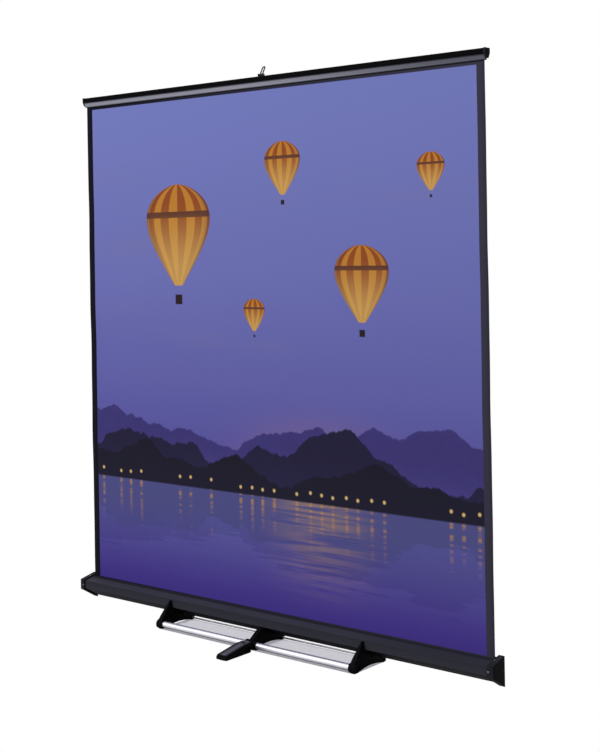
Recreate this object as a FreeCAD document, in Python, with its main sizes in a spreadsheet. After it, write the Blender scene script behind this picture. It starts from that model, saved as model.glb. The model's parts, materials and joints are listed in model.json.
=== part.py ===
import FreeCAD
import Part
import Sketcher
import os

# Floor-standing pull-up projection screen. X runs along the case, the viewer stands at -Y and Z is up
# from the floor. Sketches are drawn from the plane of the fabric, y = 0, and every piece is then set
# back by SHIFT, so that the origin lies on the floor in the middle of the whole screen.

# Driving dimensions in millimetres: alias, size and what it measures
DIMENSIONS = (
    ("slip", 0.3, "gap between pieces that move past each other"),
    ("fit", 0.05, "radial gap of a pin that turns in its hole"),
    ("fabric_width", 2438, "screen fabric, outer edge to outer edge"),
    ("fabric_thick", 0.6, "screen fabric"),
    ("rail_rise", 2605, "underside of the raised rail above the floor"),
    ("case_over", 17, "case beyond the fabric at each end"),
    ("case_depth", 80, "case, front face to rear face"),
    ("case_front", 66, "front face of the case ahead of the fabric"),
    ("nose_rise", 88, "lower edge of the case's front face above the floor"),
    ("nose_height", 41.5, "front face of the case between its slanted faces"),
    ("brow_slant", 12, "sloping top of the case from level, degrees"),
    ("heel_slant", 31, "lower slanted face of the case from level, degrees"),
    ("case_wall", 2, "case extrusion wall"),
    ("case_edge", 1.5, "rounding of the case's corners"),
    ("slot_width", 12, "slot along the top of the case"),
    ("front_lip", 16, "front slot trim flange on the top of the case"),
    ("rear_lip", 6, "rear slot trim flange on the top of the case"),
    ("trim_wall", 2, "slot trim thickness"),
    ("trim_drop", 6, "slot trim depth below the top of the case"),
    ("cap_margin", 7, "end cap beyond the case on each side"),
    ("cap_thick", 29, "end cap along the case"),
    ("cap_socket", 12, "case end inside the end cap"),
    ("cap_edge", 3, "rounding of the end cap's outer rim"),
    ("cap_screw_lead", 24, "upper end cap screws ahead of the fabric"),
    ("screw_head", 9, "screw head diameter"),
    ("screw_rise", 2.5, "screw head height"),
    ("screw_shank", 4, "screw shank diameter"),
    ("roller_rise", 104, "roller axis above the floor"),
    ("roller_outer", 38, "roller tube diameter"),
    ("roller_wall", 1.5, "roller tube wall"),
    ("wrap_thick", 1.2, "turns of fabric left on the roller"),
    ("gudgeon_pin", 10, "roller pin and spring shaft diameter"),
    ("gudgeon_depth", 45, "gudgeon and spring plug inside the roller tube"),
    ("bush_outer", 18, "roller bush diameter"),
    ("bush_depth", 12, "roller bush and shaft end inside the end cap"),
    ("spring_outer", 28, "counterbalance spring diameter"),
    ("spring_length", 620, "counterbalance spring"),
    ("rail_over", 6, "rail beyond the fabric at each end"),
    ("rail_height", 48, "rail, underside to top"),
    ("rail_depth", 34, "rail, front to back at the top"),
    ("rail_neck", 14, "rail, front to back at its lower lip"),
    ("rail_face", 21, "upright upper part of the rail's sides"),
    ("rail_lip", 7, "upright lower lip of the rail"),
    ("rail_wall", 2.5, "rail extrusion wall"),
    ("rail_edge", 1.5, "rounding of the rail's corners"),
    ("rail_cap_thick", 10, "rail end cap beyond the extrusion"),
    ("rail_cap_margin", 1.5, "rail end cap proud of the extrusion"),
    ("hem_rod", 7, "rod in the fabric's top hem"),
    ("hem_rise", 12, "hem rod centre above the underside of the rail"),
    ("foot_spread", 590, "outer feet from the middle of the case"),
    ("foot_web", 25, "foot thickness along the case"),
    ("foot_lead", 69, "front boss of the foot ahead of the case"),
    ("foot_trail", 70, "rear toe of the foot behind the case"),
    ("foot_boss", 44, "front boss diameter"),
    ("boss_length", 36, "front boss of an outer foot along the case"),
    ("hub_length", 66, "front boss of the centre foot along the case"),
    ("fin_rise", 123, "top of the foot's fin above the floor"),
    ("fin_depth", 10, "top of the fin, front to back"),
    ("fin_width", 9, "top of the fin along the case"),
    ("fin_root", 60, "where the fin reaches the foot's full thickness, above the floor"),
    ("toe_rise", 19, "rear toe above the floor"),
    ("toe_length", 30, "flat underside of the rear toe"),
    ("toe_round", 5, "rounding of the rear toe"),
    ("arch_front", 22, "arch of the foot behind the front boss centre"),
    ("arch_rise", 10, "arch of the foot above the pads"),
    ("foot_edge", 2, "rounding of the foot's front boss"),
    ("pad_thick", 3, "rubber pads under the feet"),
    ("pad_length", 18, "rubber pads, front to back"),
    ("pad_width", 22, "rubber pads along the case"),
    ("front_tube", 30, "front cross tube diameter"),
    ("rear_tube", 9, "rear cross tube diameter"),
    ("rear_tube_rise", 10, "rear cross tube centre above the floor"),
    ("rear_tube_inset", 14, "rear cross tube centre ahead of the tip of the toes"),
    ("tube_wall", 2, "cross tube wall"),
    ("plug_depth", 18, "tube plug inside its tube"),
    ("plug_head", 3, "tube plug head thickness"),
    ("bolt_shank", 6, "bolts that hold the case in the outer feet"),
    ("bolt_head", 12, "their heads inside the case"),
    ("bolt_grip", 12, "their length in the foot's fin"),
    ("bolt_drop", 23, "bolts below the top of the fin"),
    ("tongue_width", 52, "pivot tongue of the centre foot"),
    ("tongue_thick", 16, "pivot tongue of the centre foot"),
    ("tongue_rise", 16, "underside of the pivot tongue above the floor"),
    ("pivot_pin", 10, "leg pivot bolt"),
    ("pivot_head", 20, "leg pivot bolt head"),
    ("pivot_head_thick", 4, "leg pivot bolt head"),
    ("leg_gap", 2, "leg behind its pivot to the front boss"),
    ("leg_width", 66, "swing leg"),
    ("leg_nose", 154, "pivot to the tip of the swing leg"),
    ("leg_heel_rise", 46, "top of the leg over its pivot"),
    ("leg_knee", 20, "where the leg's top turns down, ahead of its pivot"),
    ("leg_knee_rise", 42, "top of the leg there"),
    ("leg_toe_rise", 22, "top of the leg near its tip"),
    ("leg_toe_round", 9, "rounding of the leg's tip in plan"),
    ("leg_toe_slope", 12, "slanted end of the leg's tip"),
    ("leg_edge", 3, "rounding of the leg's top edges"),
    ("leg_wall", 5, "leg walls around its hollow"),
    ("leg_solid", 26, "solid end of the leg's tip"),
    ("leg_roof", 8, "leg's roof over its hollow, upright"),
    ("mast_behind", 30, "mast axis behind the case"),
    ("mast_outer", 30, "lower mast tube diameter"),
    ("mast_wall", 1.5, "mast tube walls"),
    ("mast_lower_length", 928, "lower mast tube"),
    ("mast_middle_top", 1850, "top of the middle mast tube above the floor"),
    ("mast_upper_drop", 31, "top of the upper mast tube below the top of the rail"),
    ("mast_lap", 100, "tube left inside the next one with the mast up"),
    ("glide_length", 30, "glides at the feet of the sliding tubes"),
    ("socket_clear", 66, "floor to the underside of the mast socket"),
    ("socket_floor", 6, "floor of the mast socket"),
    ("socket_height", 74, "mast socket"),
    ("socket_outer", 44, "mast socket diameter"),
    ("flange_width", 88, "mast socket flange along the case"),
    ("flange_thick", 5, "mast socket flange"),
    ("flange_height", 42, "mast socket flange"),
    ("collar_outer", 42, "mast collar diameter"),
    ("collar_height", 40, "mast collar"),
    ("collar_boss", 16, "clamp boss of a collar"),
    ("collar_reach", 30, "clamp boss beyond the mast axis"),
    ("knob_head", 30, "clamp knob diameter"),
    ("knob_thick", 14, "clamp knob head"),
    ("knob_shank", 8, "clamp knob screw"),
    ("knob_scallop", 9, "finger scallops round the clamp knob"),
    ("knob_count", 6, "finger scallops round the clamp knob, number"),
    ("hook_width", 18, "mast hook along the case"),
    ("hook_arm", 8, "mast hook arm"),
    ("hook_lip", 5, "mast hook lip, front to back"),
    ("hook_gap", 7, "mast hook lip behind the rail"),
    ("hanger_width", 44, "rail hanger flange along the case"),
    ("hanger_wall", 3, "rail hanger plate"),
    ("hanger_drop", 12, "rail hanger lip behind the hook"),
    ("bail_wire", 6, "bail wire diameter"),
    ("bail_gap", 8, "space inside the bail"),
    ("bail_leg", 38, "straight wire of the bail, pivot to bend"),
    ("bail_lean", 30, "bail behind upright, degrees"),
    ("bail_barrel", 9, "bail pivot barrel diameter"),
    ("barrel_end", 1, "bail pivot barrel beyond the wire"),
    ("bail_pin", 4, "bail pivot pin"),
    ("bail_rise", 9, "bail pivot above the rail"),
    ("ear_wall", 2.5, "ears and base of the bail bracket"),
    ("bracket_depth", 18, "bail bracket, front to back"),
)

doc = FreeCAD.newDocument("projection_screen")
dims = doc.addObject("Spreadsheet::Sheet", "dims")
for row, (alias, size, note) in enumerate(DIMENSIONS, start=1):
    dims.set(f"A{row}", note)
    dims.set(f"B{row}", str(size))
    dims.setAlias(f"B{row}", alias)
doc.recompute()

# Places that several pieces share, as expressions on the sheet
CASE_REAR = "(dims.case_depth - dims.case_front)"
CASE_HEEL = "(dims.nose_rise - dims.case_depth * tan(dims.heel_slant))"
NOSE_MID = "(dims.nose_rise + dims.nose_height / 2)"
CASE_TOP = "(dims.nose_rise + dims.nose_height + dims.case_front * tan(dims.brow_slant))"
CASE_END = "(dims.fabric_width / 2 + dims.case_over)"
CAP_FACE = f"({CASE_END} - dims.cap_socket)"
ROLLER_Y = "(-dims.roller_outer / 2 - dims.wrap_thick - dims.fabric_thick / 2 - dims.slip)"
RAIL_END = "(dims.fabric_width / 2 + dims.rail_over)"
RAIL_FOOT = "dims.rail_rise"
RAIL_TOP = f"({RAIL_FOOT} + dims.rail_height)"
HEM_Z = f"({RAIL_FOOT} + dims.hem_rise)"
BOSS_Y = "(-dims.case_front - dims.foot_lead)"
BOSS_Z = "(dims.foot_boss / 2)"
TOE_Y = f"({CASE_REAR} + dims.foot_trail)"
REAR_TUBE_Y = f"({TOE_Y} - dims.rear_tube_inset)"
PIVOT_Y = f"({BOSS_Y} - dims.foot_boss / 2 - dims.leg_gap - dims.leg_width / 2)"
LEG_TIP_Y = f"({PIVOT_Y} - dims.leg_nose)"
TONGUE_TOP = "(dims.tongue_rise + dims.tongue_thick)"
MAST_Y = f"({CASE_REAR} + dims.mast_behind)"
MAST_FOOT = "(dims.socket_clear + dims.socket_floor)"
LOWER_TOP = f"({MAST_FOOT} + dims.mast_lower_length)"
UPPER_TOP = f"({RAIL_TOP} - dims.mast_upper_drop)"
LOWER_BORE = "(dims.mast_outer - 2 * dims.mast_wall)"
MIDDLE_OUTER = f"({LOWER_BORE} - 2 * dims.slip)"
MIDDLE_BORE = f"({MIDDLE_OUTER} - 2 * dims.mast_wall)"
UPPER_OUTER = f"({MIDDLE_BORE} - 2 * dims.slip)"
UPPER_BORE = f"({UPPER_OUTER} - 2 * dims.mast_wall)"
HOOK_Y = "(dims.rail_depth / 2 + dims.hanger_wall + dims.hook_gap)"
HANGER_Z = f"({RAIL_TOP} - 2 * dims.hanger_wall)"
BAIL_Z = f"({RAIL_TOP} + dims.bail_rise)"
BAIL_HALF = "(dims.bail_gap / 2 + dims.bail_wire + dims.barrel_end)"
SHIFT = f"(-({LEG_TIP_Y} + {TOE_Y}) / 2)"

PIECES = []


def value(expression):
    return float(dims.evalExpression(expression.replace("dims.", "")))


def piece(label, x="0"):
    """A new body, modelled from the fabric's plane and set back into the shared frame."""
    body = doc.addObject("PartDesign::Body", label)
    body.Label = label
    body.setExpression("Placement.Base.x", x)
    body.setExpression("Placement.Base.y", SHIFT)
    PIECES.append(body)
    return body


def hold(sketch, geometry, point, across, up):
    """Fix a point of the sketch at a pair of expressions."""
    for kind, place in (("DistanceX", across), ("DistanceY", up)):
        index = sketch.addConstraint(Sketcher.Constraint(kind, geometry, point, value(place)))
        sketch.setExpression(f"Constraints[{index}]", place)


def polygon(*corners):
    """A closed outline through corners given as pairs of expressions."""
    def draw(sketch):
        first = sketch.GeometryCount
        points = [FreeCAD.Vector(value(across), value(up), 0) for across, up in corners]
        count = len(points)
        for i in range(count):
            sketch.addGeometry(Part.LineSegment(points[i], points[(i + 1) % count]), False)
        for i in range(count):
            sketch.addConstraint(Sketcher.Constraint("Coincident", first + i, 2, first + (i + 1) % count, 1))
        for i, (across, up) in enumerate(corners):
            hold(sketch, first + i, 1, across, up)
    return draw


def rectangle(left, right, low, high):
    return polygon((left, low), (right, low), (right, high), (left, high))


def circle(across, up, diameter):
    def draw(sketch):
        centre = FreeCAD.Vector(value(across), value(up), 0)
        index = sketch.addGeometry(Part.Circle(centre, FreeCAD.Vector(0, 0, 1), value(diameter) / 2), False)
        hold(sketch, index, 3, across, up)
        size = sketch.addConstraint(Sketcher.Constraint("Diameter", index, value(diameter)))
        sketch.setExpression(f"Constraints[{size}]", diameter)
    return draw


def roof(y, lift="0"):
    """Height of the case's sloping top at y, with lift above it. CASE_TOP is its height at the fabric."""
    return f"({CASE_TOP} + ({y}) * tan(dims.brow_slant) + ({lift}))"


def case_section(margin):
    """The case's section grown by margin: an upright nose, a square back, a sloping top and underside."""
    front = f"(-dims.case_front - ({margin}))"
    rear = f"({CASE_REAR} + ({margin}))"
    low = f"(dims.nose_rise - ({margin}) / cos(dims.heel_slant) + ({margin}) * tan(dims.heel_slant))"
    heel = f"({low} - (dims.case_depth + 2 * ({margin})) * tan(dims.heel_slant))"
    lift = f"({margin}) / cos(dims.brow_slant)"
    return polygon((front, low), (rear, heel), (rear, roof(rear, lift)), (front, roof(front, lift)))


def prism(body, plane, start, length, *loops, cut=False):
    """Pad or pocket the loops along the axis that the plane leaves out, upwards from start."""
    sketch = body.newObject("Sketcher::SketchObject", body.Name + "_sketch")
    support = next(face for face in body.Origin.OriginFeatures if face.Role == plane)
    sketch.AttachmentSupport = [(support, "")]
    sketch.MapMode = "FlatFace"
    turned = plane == "XZ_Plane"
    sketch.setExpression("AttachmentOffset.Base.z", f"-({start})" if turned else start)
    for draw in loops:
        draw(sketch)
    feature = body.newObject("PartDesign::Pocket" if cut else "PartDesign::Pad", body.Name + "_feature")
    feature.Profile = sketch
    feature.setExpression("Length", length)
    feature.Reversed = turned != cut
    sketch.Visibility = False
    return feature


def span(side, near, length):
    """Where a prism along X starts when its near face lies at near on that side of the middle."""
    return near if side > 0 else f"-({near}) - ({length})"


def soften(body, radius, chosen):
    """Round the edges of the body that chosen picks."""
    doc.recompute()
    base = body.Tip
    names = [f"Edge{number}" for number, edge in enumerate(base.Shape.Edges, start=1) if chosen(edge)]
    fillet = body.newObject("PartDesign::Fillet", body.Name + "_fillet")
    fillet.Base = (base, names)
    fillet.setExpression("Radius", radius)


def runs_along(edge, axis):
    """Whether a straight edge runs along the axis, 0 for X to 2 for Z."""
    first = edge.firstVertex().Point
    last = edge.lastVertex().Point
    return all(abs(first[other] - last[other]) < 1e-6 for other in range(3) if other != axis)


def near(place, expression):
    return abs(place - value(expression)) < 0.01


def rod(label, plane, across, up, start, length, outer, bore=None):
    """A round bar, or a tube where bore is given."""
    body = piece(label)
    loops = [circle(across, up, outer)]
    if bore:
        loops.append(circle(across, up, bore))
    prism(body, plane, start, length, *loops)
    return body


def group(label, *members):
    """Separate solids of one kind in one node."""
    bundle = doc.addObject("Part::Compound", label)
    bundle.Label = label
    bundle.Links = list(members)
    for member in members:
        PIECES.remove(member)
    PIECES.append(bundle)


def pan_screw(label, plane, across, up, seat, outward, grip):
    """A screw whose head stands on seat and whose shank runs inwards through grip."""
    body = piece(label)
    head = seat if outward > 0 else f"({seat}) - dims.screw_rise"
    shank = f"({seat}) - ({grip})" if outward > 0 else seat
    prism(body, plane, head, "dims.screw_rise", circle(across, up, "dims.screw_head"))
    prism(body, plane, shank, grip, circle(across, up, "dims.screw_shank"))
    return body


# Case

def on_outline(corner):
    """Whether a corner lies on the front or the back of the case."""
    return near(corner.Y, "-dims.case_front") or near(corner.Y, CASE_REAR)


def build_case():
    shell = piece("case_shell")
    prism(shell, "YZ_Plane", f"-{CASE_END}", f"2 * {CASE_END}", case_section("0"),
          case_section("-dims.case_wall"))
    soften(shell, "dims.case_edge", lambda edge: runs_along(edge, 0) and on_outline(edge.firstVertex()))
    edge = "(dims.slot_width / 2)"
    prism(shell, "YZ_Plane", f"-{CASE_END}", f"2 * {CASE_END}",
          rectangle(f"-{edge}", edge, f"{CASE_TOP} - 3 * dims.case_wall", f"{CASE_TOP} + 2 * dims.case_wall"),
          cut=True)

    for outward, name in ((-1, "front"), (1, "rear")):
        trim = piece(f"{name}_slot_trim")
        inner = f"{outward} * ({edge} - dims.trim_wall)"
        outer = f"{outward} * {edge}"
        lip = f"{outward} * ({edge} + dims.{name}_lip)"
        prism(trim, "YZ_Plane", f"-{CAP_FACE}", f"2 * {CAP_FACE}",
              polygon((inner, roof(inner, "-dims.trim_drop")), (outer, roof(outer, "-dims.trim_drop")),
                      (outer, roof(outer)), (lip, roof(lip)), (lip, roof(lip, "dims.trim_wall")),
                      (inner, roof(inner, "dims.trim_wall"))))

    screws = []
    for side, name in ((-1, "left"), (1, "right")):
        cap = piece(f"{name}_end_cap")
        prism(cap, "YZ_Plane", span(side, CAP_FACE, "dims.cap_thick"), "dims.cap_thick",
              case_section("dims.cap_margin"))
        outer = f"{side} * ({CAP_FACE} + dims.cap_thick)"
        soften(cap, "dims.cap_edge", lambda edge: all(near(v.X, outer) for v in edge.Vertexes))
        prism(cap, "YZ_Plane", span(side, CAP_FACE, "dims.cap_socket"), "dims.cap_socket", case_section("0"),
              cut=True)
        hub = "dims.bush_outer" if side < 0 else "dims.gudgeon_pin"
        prism(cap, "YZ_Plane", span(side, CASE_END, "dims.bush_depth"), "dims.bush_depth",
              circle(ROLLER_Y, "dims.roller_rise", hub), cut=True)
        screws += cap_screws(name, cap, shell, f"{side} * ({CAP_FACE} + dims.cap_socket / 2)")
    group("cap_screws", *screws)


def cap_screws(name, cap, shell, across):
    """The screws through an end cap into the case: one in its nose, one in a flat seat sunk in its top."""
    grip = "(dims.cap_margin + dims.case_wall)"
    front = "-dims.case_front - dims.cap_margin"
    lead = "-dims.cap_screw_lead"
    recess = "dims.screw_head + 2 * dims.slip"
    seat = roof(f"{lead} - ({recess}) / 2", "dims.cap_margin / cos(dims.brow_slant) - dims.slip")
    prism(cap, "XY_Plane", seat, "dims.cap_margin", circle(across, lead, recess), cut=True)
    for body in (cap, shell):
        prism(body, "XZ_Plane", front, grip, circle(across, NOSE_MID, "dims.screw_shank"), cut=True)
        prism(body, "XY_Plane", f"{seat} - {grip}", grip, circle(across, lead, "dims.screw_shank"), cut=True)
    return [pan_screw(f"{name}_front_cap_screw", "XZ_Plane", across, NOSE_MID, front, -1, grip),
            pan_screw(f"{name}_top_cap_screw", "XY_Plane", across, lead, seat, 1, grip)]


# Roller inside the case

def build_roller():
    bore = "(dims.roller_outer - 2 * dims.roller_wall)"
    half = "(dims.fabric_width / 2)"
    axis = (ROLLER_Y, "dims.roller_rise")
    rod("roller_tube", "YZ_Plane", *axis, f"-{half}", "dims.fabric_width", "dims.roller_outer", bore)
    rod("fabric_roll", "YZ_Plane", *axis, f"-{half}", "dims.fabric_width",
        "dims.roller_outer + 2 * dims.wrap_thick", "dims.roller_outer")

    bush_bore = "dims.gudgeon_pin + 2 * dims.fit"
    rod("roller_bush", "YZ_Plane", *axis, f"-{CASE_END} - dims.bush_depth", "dims.bush_depth",
        "dims.bush_outer", bush_bore)
    gudgeon = rod("roller_gudgeon", "YZ_Plane", *axis, f"-{half}", "dims.gudgeon_depth", bore)
    pin = f"{CASE_END} + dims.bush_depth - dims.slip - {half}"
    prism(gudgeon, "YZ_Plane", f"-{half} - ({pin})", pin, circle(*axis, "dims.gudgeon_pin"))

    rod("spring_plug", "YZ_Plane", *axis, f"{half} - dims.gudgeon_depth", "dims.gudgeon_depth", bore,
        bush_bore)
    rod("counterbalance_spring", "YZ_Plane", *axis, f"{half} - dims.gudgeon_depth - dims.spring_length",
        "dims.spring_length", "dims.spring_outer", bush_bore)
    inside = "(dims.gudgeon_depth + dims.spring_length)"
    rod("spring_shaft", "YZ_Plane", *axis, f"{half} - {inside}",
        f"{CASE_END} + dims.bush_depth - {half} + {inside}", "dims.gudgeon_pin")


# Screen fabric and the rail along its top edge

def rail_section(margin, lipped):
    """The rail's outline grown by margin, with or without the lower lip."""
    wide = f"dims.rail_depth / 2 + {margin}"
    neck = f"dims.rail_neck / 2 + {margin}"
    rear = [(neck, RAIL_FOOT)] if lipped else []
    rear += [(neck, f"{RAIL_FOOT} + dims.rail_lip"), (wide, f"{RAIL_TOP} - dims.rail_face"),
             (wide, f"{RAIL_TOP} + {margin}")]
    front = [(f"-({across})", up) for across, up in reversed(rear)]
    return polygon(*rear, *front)


def build_screen():
    sheet = doc.addObject("Part::Box", "screen_fabric")
    sheet.Label = "screen_fabric"
    sheet.setExpression("Length", "dims.fabric_width")
    sheet.setExpression("Width", "dims.fabric_thick")
    sheet.setExpression("Height", f"{HEM_Z} - dims.hem_rod / 2 - dims.roller_rise")
    sheet.setExpression("Placement.Base.x", "-dims.fabric_width / 2")
    sheet.setExpression("Placement.Base.y", f"{SHIFT} - dims.fabric_thick / 2")
    sheet.setExpression("Placement.Base.z", "dims.roller_rise")
    PIECES.append(sheet)
    rod("hem_rod", "YZ_Plane", "0", HEM_Z, "-dims.fabric_width / 2", "dims.fabric_width", "dims.hem_rod")

    rail = piece("top_rail")
    groove = "(dims.fabric_thick + 2 * dims.slip)"
    inner_top = f"{RAIL_TOP} - dims.rail_wall"
    shoulder = f"{RAIL_TOP} - dims.rail_face"
    inner_wide = "(dims.rail_depth / 2 - dims.rail_wall)"
    floor_z = f"({HEM_Z} + dims.hem_rod / 2 + dims.rail_wall)"
    bevel = "(dims.rail_depth - dims.rail_neck) / 2 / (dims.rail_height - dims.rail_face - dims.rail_lip)"
    floor_wide = f"({inner_wide} - ({shoulder} - {floor_z}) * {bevel})"
    prism(rail, "YZ_Plane", f"-{RAIL_END}", f"2 * {RAIL_END}", rail_section("0", True),
          polygon((f"-{floor_wide}", floor_z), (floor_wide, floor_z), (inner_wide, shoulder),
                  (inner_wide, inner_top), (f"-{inner_wide}", inner_top), (f"-{inner_wide}", shoulder)))
    soften(rail, "dims.rail_edge",
           lambda edge: runs_along(edge, 0) and near(abs(edge.firstVertex().Y), "dims.rail_depth / 2"))
    prism(rail, "YZ_Plane", f"-{RAIL_END}", f"2 * {RAIL_END}", circle("0", HEM_Z, "dims.hem_rod"),
          cut=True)
    prism(rail, "YZ_Plane", f"-{RAIL_END}", f"2 * {RAIL_END}",
          rectangle(f"-{groove} / 2", f"{groove} / 2", f"{RAIL_FOOT} - dims.rail_lip", HEM_Z), cut=True)

    for side, name in ((-1, "left"), (1, "right")):
        cap = piece(f"{name}_rail_cap")
        prism(cap, "YZ_Plane", span(side, RAIL_END, "dims.rail_cap_thick"), "dims.rail_cap_thick",
              rail_section("dims.rail_cap_margin", False))
        outer = f"{side} * ({RAIL_END} + dims.rail_cap_thick)"
        soften(cap, "dims.cap_edge", lambda edge: all(near(v.X, outer) for v in edge.Vertexes))
        inset = "dims.rail_depth / 2 - dims.rail_wall - dims.slip"
        prism(cap, "YZ_Plane", span(side, f"{RAIL_END} - dims.rail_cap_thick", "dims.rail_cap_thick"),
              "dims.rail_cap_thick", rectangle(f"-({inset})", inset, shoulder, f"{inner_top} - dims.slip"))


def build_bail():
    ear = f"({BAIL_HALF} + dims.slip)"
    base = piece("bail_bracket")
    prism(base, "XZ_Plane", "-dims.bracket_depth / 2", "dims.bracket_depth",
          polygon((f"-{ear} - dims.ear_wall", RAIL_TOP), (f"{ear} + dims.ear_wall", RAIL_TOP),
                  (f"{ear} + dims.ear_wall", f"{BAIL_Z} + dims.bail_barrel / 2"),
                  (ear, f"{BAIL_Z} + dims.bail_barrel / 2"), (ear, f"{RAIL_TOP} + dims.ear_wall"),
                  (f"-{ear}", f"{RAIL_TOP} + dims.ear_wall"), (f"-{ear}", f"{BAIL_Z} + dims.bail_barrel / 2"),
                  (f"-{ear} - dims.ear_wall", f"{BAIL_Z} + dims.bail_barrel / 2")))
    stop = "(dims.bracket_depth / 2 - dims.ear_wall)"
    prism(base, "XZ_Plane", stop, "dims.ear_wall",
          rectangle(f"-{ear}", ear, RAIL_TOP, f"{BAIL_Z} + {stop} / tan(dims.bail_lean) "
                    "- dims.bail_wire / 2 / sin(dims.bail_lean) - dims.slip"))
    prism(base, "YZ_Plane", f"-{ear} - dims.ear_wall", f"2 * {ear} + 2 * dims.ear_wall",
          circle("0", BAIL_Z, "dims.bail_pin"), cut=True)
    rod("bail_pin", "YZ_Plane", "0", BAIL_Z, f"-{ear} - dims.ear_wall", f"2 * {ear} + 2 * dims.ear_wall",
        "dims.bail_pin")

    # The loop is drawn upright about its pivot and leans back with the piece
    loop = doc.addObject("PartDesign::Body", "bail")
    loop.Label = "bail"
    prism(loop, "YZ_Plane", f"-{BAIL_HALF}", f"2 * {BAIL_HALF}", circle("0", "0", "dims.bail_barrel"))
    wire = "(dims.bail_gap / 2 + dims.bail_wire / 2)"
    prism(loop, "XY_Plane", "0", "dims.bail_leg", circle(wire, "0", "dims.bail_wire"),
          circle(f"-{wire}", "0", "dims.bail_wire"))
    bend = loop.newObject("Sketcher::SketchObject", "bail_bend")
    support = next(face for face in loop.Origin.OriginFeatures if face.Role == "XY_Plane")
    bend.AttachmentSupport = [(support, "")]
    bend.MapMode = "FlatFace"
    bend.setExpression("AttachmentOffset.Base.z", "dims.bail_leg")
    circle(wire, "0", "dims.bail_wire")(bend)
    turn = loop.newObject("PartDesign::Revolution", "bail_turn")
    turn.Profile = bend
    turn.ReferenceAxis = (bend, ["V_Axis"])
    turn.Angle = 180
    turn.Reversed = True
    prism(loop, "YZ_Plane", f"-{BAIL_HALF}", f"2 * {BAIL_HALF}",
          circle("0", "0", "dims.bail_pin + 2 * dims.fit"), cut=True)
    loop.setExpression("Placement.Base.y", SHIFT)
    loop.setExpression("Placement.Base.z", BAIL_Z)
    loop.setExpression("Placement.Rotation.Axis.x", "1")
    loop.setExpression("Placement.Rotation.Axis.z", "0")
    loop.setExpression("Placement.Rotation.Angle", "-dims.bail_lean")
    PIECES.append(loop)


def build_hanger():
    flat = "(dims.rail_depth / 2)"
    lip = f"({HOOK_Y} + dims.hook_lip + dims.hanger_wall)"
    plate = piece("rail_hanger")
    prism(plate, "YZ_Plane", "-dims.hook_width / 2", "dims.hook_width",
          polygon((flat, f"{RAIL_TOP} - dims.rail_face"), (f"{flat} + dims.hanger_wall",
                  f"{RAIL_TOP} - dims.rail_face"), (f"{flat} + dims.hanger_wall", HANGER_Z), (lip, HANGER_Z),
                  (lip, f"{HANGER_Z} - dims.hanger_drop"),
                  (f"{lip} + dims.hanger_wall", f"{HANGER_Z} - dims.hanger_drop"),
                  (f"{lip} + dims.hanger_wall", f"{HANGER_Z} + dims.hanger_wall"),
                  (flat, f"{HANGER_Z} + dims.hanger_wall")))
    prism(plate, "XZ_Plane", flat, "dims.hanger_wall",
          rectangle("-dims.hanger_width / 2", "dims.hanger_width / 2", f"{RAIL_TOP} - dims.rail_face",
                    f"{HANGER_Z} + dims.hanger_wall"))
    middle = f"({RAIL_TOP} - dims.rail_face / 2)"
    across = "(dims.hanger_width / 4 + dims.hook_width / 4)"
    rivets = []
    for side, name in ((-1, "left"), (1, "right")):
        place = f"{side} * {across}"
        hole = circle(place, middle, "dims.screw_shank")
        prism(plate, "XZ_Plane", flat, "dims.hanger_wall", hole, cut=True)
        rivets.append(pan_screw(f"{name}_hanger_rivet", "XZ_Plane", place, middle,
                                f"{flat} + dims.hanger_wall", 1, "dims.hanger_wall + dims.rail_wall"))
        rail = doc.getObject("top_rail")
        prism(rail, "XZ_Plane", f"{flat} - dims.rail_wall", "dims.rail_wall", hole, cut=True)
    group("hanger_rivets", *rivets)


# Stand

def down_the_fin(edge):
    """Whether an edge of a foot's web runs down its front, from the top of the fin to the boss."""
    ahead = all(corner.Y < value("-dims.case_front - dims.slip") for corner in edge.Vertexes)
    height = edge.BoundBox.Center.z
    return ahead and not runs_along(edge, 0) and value(BOSS_Z) < height < value("dims.fin_rise")


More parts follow.
